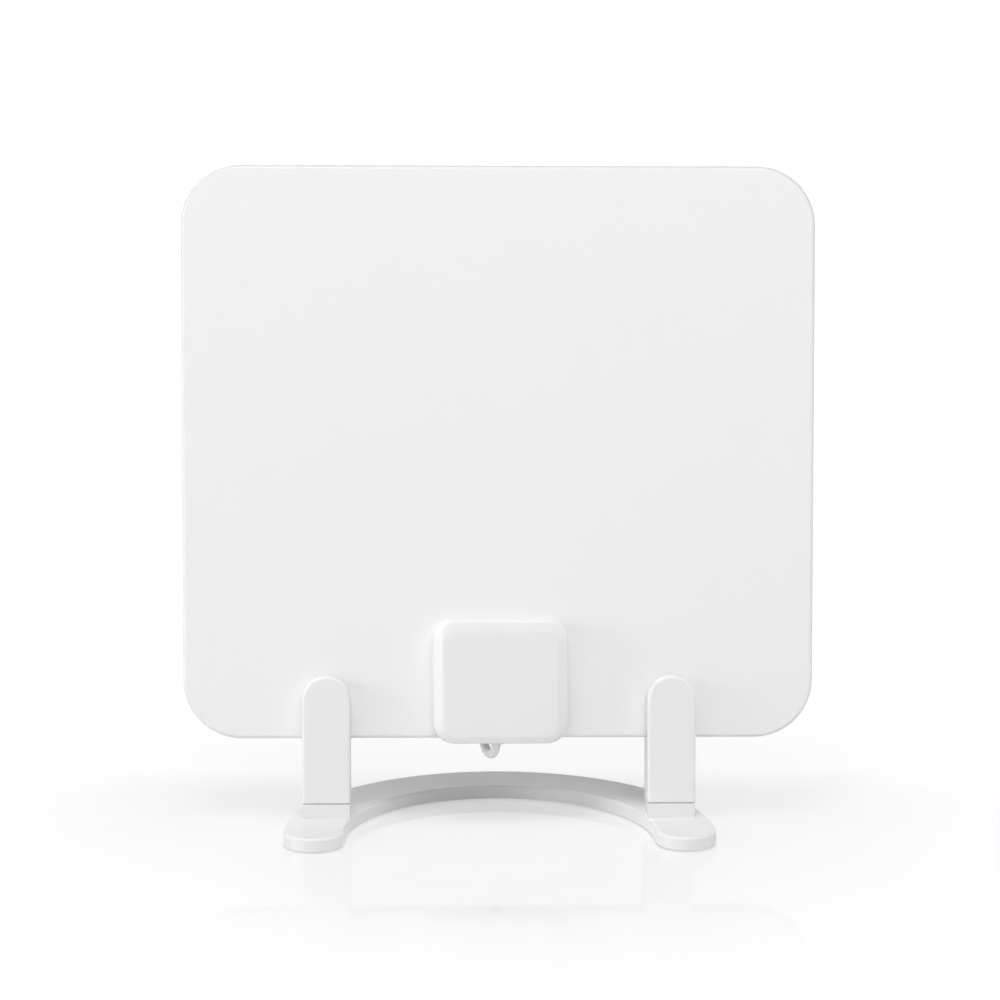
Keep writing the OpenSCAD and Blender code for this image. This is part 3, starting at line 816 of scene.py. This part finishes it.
@dataclass
class ScrewSet:
    """Like screws with a domed head and a cross recess, placed by one geometry tree."""

    name: str
    head_d: float
    head_t: float
    shank_d: float
    length: float
    places: tuple[Point, ...]
    tilt: tuple[float, float, float]
    rim_share: float = 0.55
    dome_share: float = 0.45
    dome_top: float = 0.8
    head_sides: int = 48
    shank_sides: int = 24
    bar_length: float = 1.15
    bar_width: float = 0.26
    bar_height: float = 0.95

    def tree(self) -> bpy.types.NodeTree:
        """Builds the geometry tree that puts a screw on each point.

        Returns:
            The tree.
        """
        graph = geometry_tree(self.name + "_tree", {
            "Geometry": "Geometry", "Head Radius": "Float", "Head Height": "Float",
            "Shank Radius": "Float", "Shank Length": "Float", "Tilt": "Vector", "Finish": "Material"})
        given = graph.add("NodeGroupInput")
        head_r, head_t = graph.term(given, "Head Radius"), graph.term(given, "Head Height")
        shank_r, shank_l = graph.term(given, "Shank Radius"), graph.term(given, "Shank Length")
        rim_t = head_t * self.rim_share
        rim = self.cylinder(graph, head_r, rim_t, head_t * (self.rim_share / 2), self.head_sides)
        dome = graph.add("GeometryNodeMeshCone", {}, {
            "Vertices": self.head_sides, "Radius Top": head_r * self.dome_top, "Radius Bottom": head_r,
            "Depth": head_t * self.dome_share})
        raised = self.moved(graph, dome.outputs["Mesh"], rim_t)
        shank = self.cylinder(graph, shank_r, shank_l, shank_l * -0.5, self.shank_sides)
        slots = [self.slot_bar(graph, head_r, head_t, turn) for turn in (0.0, math.pi / 2)]
        solid = graph.add("GeometryNodeMeshBoolean", {"operation": "UNION"})
        for part in (rim, raised, shank):
            graph.tree.links.new(part, solid.inputs["Mesh 2"])
        cut = graph.add("GeometryNodeMeshBoolean", {"operation": "DIFFERENCE"}, {"Mesh 1": solid.outputs[0]})
        for part in slots:
            graph.tree.links.new(part, cut.inputs["Mesh 2"])
        spread = graph.add("GeometryNodeInstanceOnPoints", {}, {
            "Points": given.outputs["Geometry"], "Instance": cut.outputs[0],
            "Rotation": given.outputs["Tilt"]})
        real = graph.add("GeometryNodeRealizeInstances", {}, {"Geometry": spread.outputs[0]})
        return dressed_tree(graph, real, given)

    @staticmethod
    def moved(graph: Graph, part: bpy.types.NodeSocket, up: Term) -> bpy.types.NodeSocket:
        """Moves a part along the screw.

        Args:
            graph: The graph of the screw.
            part: The part's geometry.
            up: How far it moves towards the head.

        Returns:
            The moved geometry.
        """
        shift = graph.add("ShaderNodeCombineXYZ", {}, {"Z": up})
        return graph.add("GeometryNodeTransform", {}, {
            "Geometry": part, "Translation": shift.outputs[0]}).outputs[0]

    def cylinder(self, graph: Graph, radius: Term, depth: Term, middle: Term,
                 sides: int) -> bpy.types.NodeSocket:
        """Adds a cylinder along the screw.

        Args:
            graph: The graph of the screw.
            radius: Its radius.
            depth: Its length.
            middle: The height of its middle.
            sides: How many sides it has.

        Returns:
            Its geometry.
        """
        body = graph.add("GeometryNodeMeshCylinder", {}, {
            "Vertices": sides, "Radius": radius, "Depth": depth})
        return self.moved(graph, body.outputs["Mesh"], middle)

    def slot_bar(self, graph: Graph, head_r: Term, head_t: Term, turn: float) -> bpy.types.NodeSocket:
        """Adds one bar of the cross that is cut into the head.

        Args:
            graph: The graph of the screw.
            head_r: The head's radius.
            head_t: The head's height.
            turn: How far the bar is turned round the screw.

        Returns:
            The bar's geometry.
        """
        size = graph.add("ShaderNodeCombineXYZ", {}, {
            "X": head_r * self.bar_length, "Y": head_r * self.bar_width, "Z": head_t})
        bar = graph.add("GeometryNodeMeshCube", {}, {"Size": size.outputs[0]})
        lift = graph.add("ShaderNodeCombineXYZ", {}, {"Z": head_t * self.bar_height})
        return graph.add("GeometryNodeTransform", {}, {
            "Geometry": bar.outputs["Mesh"], "Translation": lift.outputs[0],
            "Rotation": (0.0, 0.0, turn)}).outputs[0]

    def build(self, shop: Workshop, node: str) -> None:
        """Makes the screws as one plain mesh.

        Args:
            shop: The workshop that gives the finish.
            node: The CAD node that the screws stand for.
        """
        seats = bpy.data.meshes.new(self.name + "_seats")
        seats.from_pydata([tuple(v * MM for v in p) for p in self.places], [], [])
        carrier = object_of(self.name + "_seats", seats)
        values = {"Head Radius": self.head_d / 2 * MM, "Head Height": self.head_t * MM,
                  "Shank Radius": self.shank_d / 2 * MM, "Shank Length": self.length * MM,
                  "Tilt": self.tilt, "Finish": shop.material(Finish.SCREW)}
        mesh = plain_mesh(carrier, self.tree(), values, self.name)
        shop.deliver(object_of(self.name, mesh), Finish.SCREW, node)


@dataclass
class Panel:
    """The thin panel: two shells with the aerial element between them, and four screws at the back."""

    thickness: float = 4.5
    screw_x: float = 29.0
    screw_z: tuple[float, float] = (8.0, 32.0)
    head_t: float = 0.9
    middle_x: float = AmplifierBox.middle_x

    def build(self, shop: Workshop) -> None:
        """Dresses the shells and what lies in them, and places the screws.

        Args:
            shop: The workshop that gives the finishes.
        """
        shop.dress(Finish.PANEL, "panel_front", "panel_back")
        shop.dress(Finish.FILM, "antenna_sheet")
        shop.dress(Finish.FOIL, "element_left", "element_right")
        seat = self.thickness - self.head_t
        places = []
        for sx in (-1, 1):
            for z in self.screw_z:
                places.append(tuple(LEAN.point(self.middle_x + sx * self.screw_x / 2, seat, z) / MM))
        lean = math.radians(-LEAN.degrees)
        screws = ScrewSet("panel_screws", head_d=4.0, head_t=self.head_t, shank_d=2.2, length=7.0,
                          places=tuple(places), tilt=(lean - math.pi / 2, 0.0, 0.0))
        screws.build(shop, "box_screws")


@dataclass
class Stand:
    """The arched base with its pads, and the two uprights screwed to it from below."""

    upright_x: float = 57.4
    upright_mid: float = 1.5
    seat_z: float = -26.7

    def build(self, shop: Workshop) -> None:
        """Dresses the base, uprights and pads, and places the two screws.

        Args:
            shop: The workshop that gives the finishes.
        """
        shop.dress(Finish.BASE, "stand_base")
        shop.dress(Finish.WHITE, "upright_left", "upright_right")
        shop.dress(Finish.PAD, "foot_pads")
        places = tuple(tuple(LEAN.point(sx * self.upright_x, self.upright_mid, self.seat_z) / MM)
                       for sx in (-1, 1))
        tilt = (math.pi - math.radians(LEAN.degrees), 0.0, 0.0)
        screws = ScrewSet("stand_screws", head_d=5.6, head_t=1.2, shank_d=3.0, length=13.0,
                          places=places, tilt=tilt)
        screws.build(shop, "upright_screws")


def catmull(points: Sequence[Vector], pitch: float) -> list[Vector]:
    """Runs a smooth line through points.

    Args:
        points: The points that the line passes.
        pitch: The wanted distance between the new points.

    Returns:
        The points of the smooth line.
    """
    line = []
    for i in range(len(points) - 1):
        a, b = points[max(0, i - 1)], points[i]
        c, d = points[i + 1], points[min(len(points) - 1, i + 2)]
        steps = max(2, round((c - b).length / pitch))
        for k in range(steps):
            t = k / steps
            line.append((2 * b + (c - a) * t + (2 * a - 5 * b + 4 * c - d) * t ** 2
                         + (3 * b - a - 3 * c + d) * t ** 3) / 2)
    return line + [points[-1]]


@dataclass
class Lead:
    """The coaxial lead: from the box under the panel to a tied hank behind the stand, and on to its plug.

    leaves_box, which is not used, lies in the panel's leaning frame, and all other places are in millimetres
    of the world.
    """

    diameter: float = 3.0
    length: float = 1550.0
    hank_at: tuple[float, float] = (-11.0, 119.5)
    half_run: float = 27.0
    outer_r: float = 12.0
    lane: float = 3.0
    waist_r: float = 60.0
    tie_half: float = 3.0
    squeeze: float = 0.13
    squeeze_reach: float = 6.0
    stack_middle: float = 6.0
    bend_step: int = 15
    bend_end: int = 60
    run_step: int = 6
    run_end: int = 24
    pitch: float = 1.2
    section_steps: int = 5
    leaves_box: Point = (-0.8, -4.6, -1.3)
    # The route's points and turns are the same as in the part's own source.
    front_points: tuple[Point, ...] = (
        (-0.8, -12.3, 38), (-0.8, -13, 34), (-0.9, -13.3, 30.5), (-1.2, -12.6, 27.4),
        (-2, -10.7, 25.2), (-3, -8, 24.4), (-4.1, -5.3, 25.2), (-4.9, -3.3, 27.4),
        (-5.2, -2.3, 30.5), (-5.6, -1.3, 35), (-6.2, 0.2, 41), (-7, 2.9, 47),
        (-8.2, 7.5, 52.2), (-9.8, 13.7, 56), (-11.8, 20.9, 57.4), (-14.2, 28.6, 56.6),
        (-17.2, 37.1, 53.4), (-20.6, 46, 48.6), (-24.4, 54.9, 43), (-28.4, 63.8, 37.2),
        (-32.6, 72.7, 31.6), (-36.8, 81.5, 26.4), (-41, 90.4, 21.8), (-45, 98.7, 17.8),
        (-48, 106.2, 14.4), (-49.7, 113.1, 11.8), (-50, 119.5, 10.5))
    tail_points: tuple[Point, ...] = (
        (16, 131.5, 1.6), (21, 131.5, 1.6), (26, 131, 1.7), (31, 129.9, 2),
        (36, 128.3, 2.6), (41, 126.5, 3.5), (46, 125, 4.6), (50.5, 124.1, 5.3), (53.5, 124, 5.5))
    turns: tuple[tuple[int, float], ...] = (
        (0, 10.5), (1, 10.5), (1, 7.5), (0, 7.5), (0, 4.5), (1, 4.5), (1, 1.6), (0, 1.6))

    def tightness(self, x: float) -> float:
        """Gives the share of its width that the stack keeps, least under the tie."""
        return 1 - self.squeeze * math.exp(-(x / self.squeeze_reach) ** 2)

    def run_y(self, x: float, lane: float) -> float:
        """Gives the sideways place of a strand on a run of the hank.

        Args:
            x: The distance from the tie along the run.
            lane: 0 for the outer strand and 1 for the inner one.

        Returns:
            The distance from the hank's middle line.
        """
        off = max(abs(x) - self.tie_half, 0.0)
        arc = 2 * self.lane - self.lane / 2 + self.waist_r - math.sqrt(self.waist_r ** 2 - off ** 2)
        return (arc - self.lane * lane) * self.tightness(x)

    def loop(self, side: int, lane: float, angle: float, z: float) -> Vector:
        """Gives a point on an end loop of the hank.

        Args:
            side: -1 for the left loop and 1 for the right one.
            lane: 0 for the outer strand and 1 for the inner one.
            angle: The angle from the hank's middle line, positive to the rear.
            z: The height.

        Returns:
            The point, from the hank's middle.
        """
        radius = self.outer_r - self.lane * lane
        turn = math.radians(angle)
        return Vector((side * (self.half_run + radius * math.cos(turn)), radius * math.sin(turn), z))

    def squeezed(self, x: float, z: float) -> float:
        """Gives the height of a strand, drawn in under the tie."""
        return self.stack_middle + (z - self.stack_middle) * self.tightness(x)

    def run(self, side: int, lane: float, z: float) -> list[Vector]:
        """Gives one strand of a run of the hank.

        Args:
            side: 1 for the rear run, walked to the right, and -1 for the front one, walked back.
            lane: 0 for the outer strand and 1 for the inner one.
            z: The height away from the tie.

        Returns:
            The points, from the hank's middle.
        """
        places = range(-side * self.run_end, side * (self.run_end + 1), side * self.run_step)
        return [Vector((x, side * self.run_y(x, lane), self.squeezed(x, z))) for x in places]

    def hank(self) -> list[Vector]:
        """Winds the hank turn by turn, from its left end on top to the rear run on the floor.

        Returns:
            The points of its line.
        """
        line: list[Vector] = []
        step, end = self.bend_step, self.bend_end
        for number, (lane, z) in enumerate(self.turns):
            line += [self.loop(-1, lane, angle, z) for angle in range(step, end + step, step)]
            line += self.run(1, lane, z)
            if number == len(self.turns) - 1:
                break
            line += [self.loop(1, lane, angle, z) for angle in range(end, -end - 1, -step)]
            line += self.run(-1, lane, z)
            next_lane, next_z = self.turns[number + 1]
            for angle in range(-end, 1, step):
                share = (angle + end) / end
                ease = share * share * (3 - 2 * share)
                line.append(self.loop(-1, lane + (next_lane - lane) * ease, angle, z + (next_z - z) * ease))
        middle = Vector((*self.hank_at, 0.0))
        return [middle + p for p in line]

    def route(self) -> list[Vector]:
        """Runs the whole line of the lead, from the board to the plug.

        Returns:
            The points of its middle line in metres.
        """
        points = [Vector(p) for p in self.front_points] + self.hank()[:-1]
        points += [Vector(p) for p in self.tail_points]
        return [p * MM for p in catmull(points, self.pitch)]

    def curve(self, route: Sequence[Vector]) -> bpy.types.Object:
        """Draws the lead as one open curve with a round section.

        Args:
            route: The points of its middle line.

        Returns:
            The curve object.
        """
        data = bpy.data.curves.new("lead", "CURVE")
        data.dimensions = "3D"
        data.bevel_depth = self.diameter / 2 * MM
        data.bevel_resolution = self.section_steps
        data.use_fill_caps = True
        spline = data.splines.new("POLY")
        spline.points.add(len(route) - 1)
        for point, place in zip(spline.points, route):
            point.co = (*place, 1.0)
        spline.use_smooth = True
        return object_of("lead", data)

    def build(self, shop: Workshop) -> None:
        """Places the lead, its tie and its plug.

        Args:
            shop: The workshop that gives the finishes.
        """
        route = self.route()
        length = sum((b - a).length for a, b in zip(route, route[1:]))
        log.info("the lead's line is %.3f m long", length)
        lead = shop.deliver(self.curve(route), Finish.JACKET, "cable", "cable_hank", "cable_tail")
        # Behind the panel the lead's way is a guess, so the floor shows no mirror image of it.
        lead.visible_glossy = False
        tie = Tie(self.hank_at).build(shop)
        shop.dress(Finish.PLUG, "plug_body")
        shop.dress(Finish.NICKEL, "plug_shell")
        shop.dress(Finish.INSULATOR, "plug_insulator")
        shop.dress(Finish.BRASS, "plug_pin")


@dataclass
class Tie:
    """A flat plastic strap drawn round the waist of the hank, with fine teeth across it."""

    middle: tuple[float, float]
    width: float = 6.0
    side: float = 12.0
    thickness: float = 0.8
    corner: float = 2.6
    teeth: int = 64
    corner_points: int = 10
    strap_share: float = 0.7
    tooth_width: float = 0.6
    tooth_length: float = 0.3

    def tree(self) -> bpy.types.NodeTree:
        """Builds the geometry tree that sweeps the strap and sets its teeth.

        Returns:
            The tree.
        """
        graph = geometry_tree("tie_tree", {
            "Side": "Float", "Corner": "Float", "Thickness": "Float", "Width": "Float",
            "Teeth": "Int", "Middle": "Vector", "Finish": "Material"})
        given = graph.add("NodeGroupInput")
        side, corner = graph.term(given, "Side"), graph.term(given, "Corner")
        thick, width = graph.term(given, "Thickness"), graph.term(given, "Width")
        square = graph.add("GeometryNodeCurvePrimitiveQuadrilateral", {}, {
            "Width": side - thick, "Height": side - thick})
        ring = graph.add("GeometryNodeFilletCurve", {"mode": "POLY"}, {
            "Curve": square.outputs[0], "Count": self.corner_points, "Radius": corner, "Limit Radius": True})
        section = graph.add("GeometryNodeCurvePrimitiveQuadrilateral", {}, {
            "Width": thick * self.strap_share, "Height": width})
        strap = graph.add("GeometryNodeCurveToMesh", {}, {
            "Curve": ring.outputs[0], "Profile Curve": section.outputs[0]})
        marks = graph.add("GeometryNodeCurveToPoints", {"mode": "COUNT"}, {
            "Curve": ring.outputs[0], "Count": given.outputs["Teeth"]})
        size = graph.add("ShaderNodeCombineXYZ", {}, {
            "X": thick, "Y": width * self.tooth_width, "Z": thick * self.tooth_length})
        tooth = graph.add("GeometryNodeMeshCube", {}, {"Size": size.outputs[0]})
        row = graph.add("GeometryNodeInstanceOnPoints", {}, {
            "Points": marks.outputs["Points"], "Instance": tooth.outputs["Mesh"],
            "Rotation": marks.outputs["Rotation"]})
        real = graph.add("GeometryNodeRealizeInstances", {}, {"Geometry": row.outputs[0]})
        both = graph.add("GeometryNodeJoinGeometry")
        graph.tree.links.new(strap.outputs[0], both.inputs[0])
        graph.tree.links.new(real.outputs[0], both.inputs[0])
        upright = graph.add("GeometryNodeTransform", {}, {
            "Geometry": both.outputs[0], "Rotation": (math.pi / 2, 0.0, math.pi / 2),
            "Translation": given.outputs["Middle"]})
        return dressed_tree(graph, upright, given)

    def build(self, shop: Workshop) -> bpy.types.Object:
        """Makes the strap as one plain mesh.

        Args:
            shop: The workshop that gives the finish.

        Returns:
            The piece.
        """
        carrier = object_of("tie_carrier", bpy.data.meshes.new("tie_carrier"))
        values = {"Side": self.side * MM, "Corner": self.corner * MM, "Thickness": self.thickness * MM,
                  "Width": self.width * MM, "Teeth": self.teeth, "Finish": shop.material(Finish.TIE),
                  "Middle": (self.middle[0] * MM, self.middle[1] * MM, self.side / 2 * MM)}
        mesh = plain_mesh(carrier, self.tree(), values, "hank_tie")
        return shop.deliver(object_of("hank_tie", mesh), Finish.TIE, "cable_tie")


@dataclass(frozen=True)
class View:
    """The photograph's camera, worked out from the panel's edges and the arch of the base."""

    target: Point = (0.0, -0.0088, 0.095)
    distance: float = 0.9269
    elevation: float = 11.105
    turn: float = 1.743
    roll: float = 0.286
    focal_px: float = 2814.2
    frame_px: float = 1000.0
    centre_px: tuple[float, float] = (499.7, 546.9)
    sensor: float = 36.0

    def build(self) -> None:
        """Makes the camera and sets it as the scene's."""
        turn, lift, roll = (math.radians(a) for a in (self.turn, self.elevation, self.roll))
        across = Vector((math.cos(turn), -math.sin(turn), 0))
        away = Vector((math.sin(turn), math.cos(turn), 0))
        look = away * math.cos(lift) - Vector((0, 0, math.sin(lift)))
        up = away * math.sin(lift) + Vector((0, 0, math.cos(lift)))
        right = across * math.cos(roll) + up * math.sin(roll)
        top = up * math.cos(roll) - across * math.sin(roll)
        data = bpy.data.cameras.new("camera")
        data.sensor_width = self.sensor
        data.lens = self.focal_px / self.frame_px * self.sensor
        data.shift_x = (self.frame_px / 2 - self.centre_px[0]) / self.frame_px
        data.shift_y = (self.centre_px[1] - self.frame_px / 2) / self.frame_px
        data.clip_start = 0.01
        camera = object_of("camera", data)
        place = Vector(self.target) - look * self.distance
        camera.matrix_world = Matrix.Translation(place) @ Matrix((right, top, -look)).transposed().to_4x4()
        bpy.context.scene.camera = camera


@dataclass(frozen=True)
class Lamp:
    """One soft square lamp of the studio, hung round the object by its direction."""

    name: str
    azimuth: float
    elevation: float
    watts: float
    size: float = 0.7
    distance: float = 1.9
    aim: Point = (0.0, 0.0, 0.09)

    def build(self) -> None:
        """Hangs the lamp and turns it to what it lights."""
        data = bpy.data.lights.new(self.name, "AREA")
        data.shape = "SQUARE"
        data.size = self.size
        data.energy = self.watts
        lamp = object_of(self.name, data)
        side, lift = math.radians(self.azimuth), math.radians(self.elevation)
        way = Vector((math.sin(side) * math.cos(lift), -math.cos(side) * math.cos(lift), math.sin(lift)))
        place = Vector(self.aim) + way * self.distance
        lamp.matrix_world = Matrix.Translation(place) @ way.to_track_quat("Z", "Y").to_matrix().to_4x4()


@dataclass
class Studio:
    """A pale gloss floor, soft lamps and a white surround.

    The floor's own colour, with the shadow on it, gives way to plain white between clear_from and
    clear_by metres from the middle, and in part behind the stand. Inside the arch more of it stays.
    """

    reach: float = 6.0
    floor_white: float = 0.9
    floor_grain: float = 0.002
    floor_shade: float = 0.985
    lift: float = 0.73
    glow: float = 1.07
    clear_from: float = 0.10
    clear_by: float = 0.24
    behind_from: float = 0.030
    behind_by: float = 0.060
    behind_clear: float = 0.40
    arch_y: float = -0.030
    arch_from: float = 0.05
    arch_by: float = 0.09
    arch_depth: float = 0.18
    gloss_ior: float = 1.45
    gloss_roughness: float = 0.06
    surround: float = 0.0
    lamps: tuple[Lamp, ...] = (
        Lamp("key_lamp", -20, 64, 14.7),
        Lamp("left_lamp", -80, 12, 12.8),
        Lamp("low_left_lamp", -50, 12, 4.3),
        Lamp("front_lamp", 15, 38, 6.9),
        Lamp("right_lamp", 85, 12, 5.8),
        Lamp("high_lamp", 50, 64, 5.6),
        Lamp("rear_lamp", -150, 45, 3.8),
        Lamp("low_lamp", 35, 12, 1.6),
    )

    @staticmethod
    def seen(graph: Graph) -> Term:
        """Tells what is seen from what is only lit.

        Args:
            graph: The graph of the material or the surround.

        Returns:
            1 for what the camera, metal or glass sees directly, and 0 for light on surfaces.
        """
        path = graph.add("ShaderNodeLightPath")
        rays = [graph.term(path, name) for name in ("Is Camera Ray", "Is Glossy Ray", "Is Transmission Ray")]
        return (rays[0] + rays[1] + rays[2]).clamped()

    @staticmethod
    def distance(graph: Graph, place: bpy.types.NodeSocket, middle_y: float) -> Term:
        """Gives the distance of a place on the floor from a point on the middle line."""
        way = graph.add("ShaderNodeVectorMath", {"operation": "DISTANCE"}, {
            0: place, 1: (0.0, middle_y, 0.0)})
        return graph.term(way, "Value")

    @staticmethod
    def ramp(value: Term, start: float, end: float) -> Term:
        """Turns a value into 0 at its start and 1 at its end."""
        return ((value - start) * (1 / (end - start))).clamped()

    def floor(self) -> None:
        """Makes the floor: white away from the object, with its shadow and a faint mirror image near it."""
        mesh = bpy.data.meshes.new("floor")
        r = self.reach
        mesh.from_pydata([(-r, -r, 0), (r, -r, 0), (r, r, 0), (-r, r, 0)], [], [(0, 1, 2, 3)])
        floor = object_of("floor", mesh)
        recipe = Recipe("floor_gloss")
        graph = recipe.graph
        grain = recipe.noise(self.floor_grain)
        white = self.floor_white
        recipe.tint((white * self.floor_shade,) * 3, (white,) * 3, grain)
        recipe.fixed(Roughness=0.9, Specular_IOR_Level=0.0)
        glow = graph.add("ShaderNodeEmission", {}, {"Color": (1, 1, 1, 1), "Strength": self.glow})
        axes = graph.add("ShaderNodeSeparateXYZ", {}, {0: recipe.place})
        behind = self.ramp(graph.term(axes, "Y"), self.behind_from, self.behind_by)
        clear = self.ramp(self.distance(graph, recipe.place, 0.0), self.clear_from, self.clear_by)
        clear = graph.math("MAXIMUM", clear, behind * self.behind_clear)
        under = self.ramp(self.distance(graph, recipe.place, self.arch_y), self.arch_by, self.arch_from)
        lift = self.lift - under * self.arch_depth
        seen = self.seen(graph)
        lifted = graph.add("ShaderNodeMixShader", {}, {
            0: seen * (lift + clear * (1 - lift)), 1: recipe.surface.outputs[0], 2: glow.outputs[0]})
        gloss = graph.add("ShaderNodeBsdfGlossy", {}, {"Roughness": self.gloss_roughness})
        sheen = graph.term(graph.add("ShaderNodeFresnel", {}, {"IOR": self.gloss_ior}))
        mirrored = graph.add("ShaderNodeMixShader", {}, {
            0: sheen * seen * (1 - clear) * (1 - behind), 1: lifted.outputs[0], 2: gloss.outputs[0]})
        graph.tree.links.new(mirrored.outputs[0], recipe.output.inputs[0])
        mesh.materials.append(recipe.material)

    def sky(self) -> None:
        """Shows white all round, and lights the object by the surround's own strength."""
        world = bpy.data.worlds.new("surround")
        bpy.context.scene.world = world
        world.use_nodes = True
        world.node_tree.nodes.clear()
        graph = Graph(world.node_tree)
        light = graph.add("ShaderNodeBackground", {}, {"Color": (1, 1, 1, 1), "Strength": self.surround})
        white = graph.add("ShaderNodeBackground", {}, {"Color": (1, 1, 1, 1), "Strength": 1.0})
        mix = graph.add("ShaderNodeMixShader", {}, {
            0: self.seen(graph), 1: light.outputs[0], 2: white.outputs[0]})
        graph.add("ShaderNodeOutputWorld", {}, {"Surface": mix.outputs[0]})

    def build(self) -> None:
        """Sets the floor, the surround and the lamps."""
        self.floor()
        self.sky()
        for lamp in self.lamps:
            lamp.build()
        bpy.context.scene.view_settings.view_transform = "Standard"


def main() -> None:
    """Builds the aerial piece by piece, camera and lead first."""
    shop = Workshop()
    View().build()
    stages: list[tuple[str, Callable[[Workshop], None]]] = [
        ("lead and plug", Lead().build), ("panel", Panel().build),
        ("amplifier box", AmplifierBox().build), ("stand", Stand().build)]
    for name, build in stages:
        build(shop)
        log.info("%s done", name)
    Studio().build()


if __name__ == "__main__":
    main()
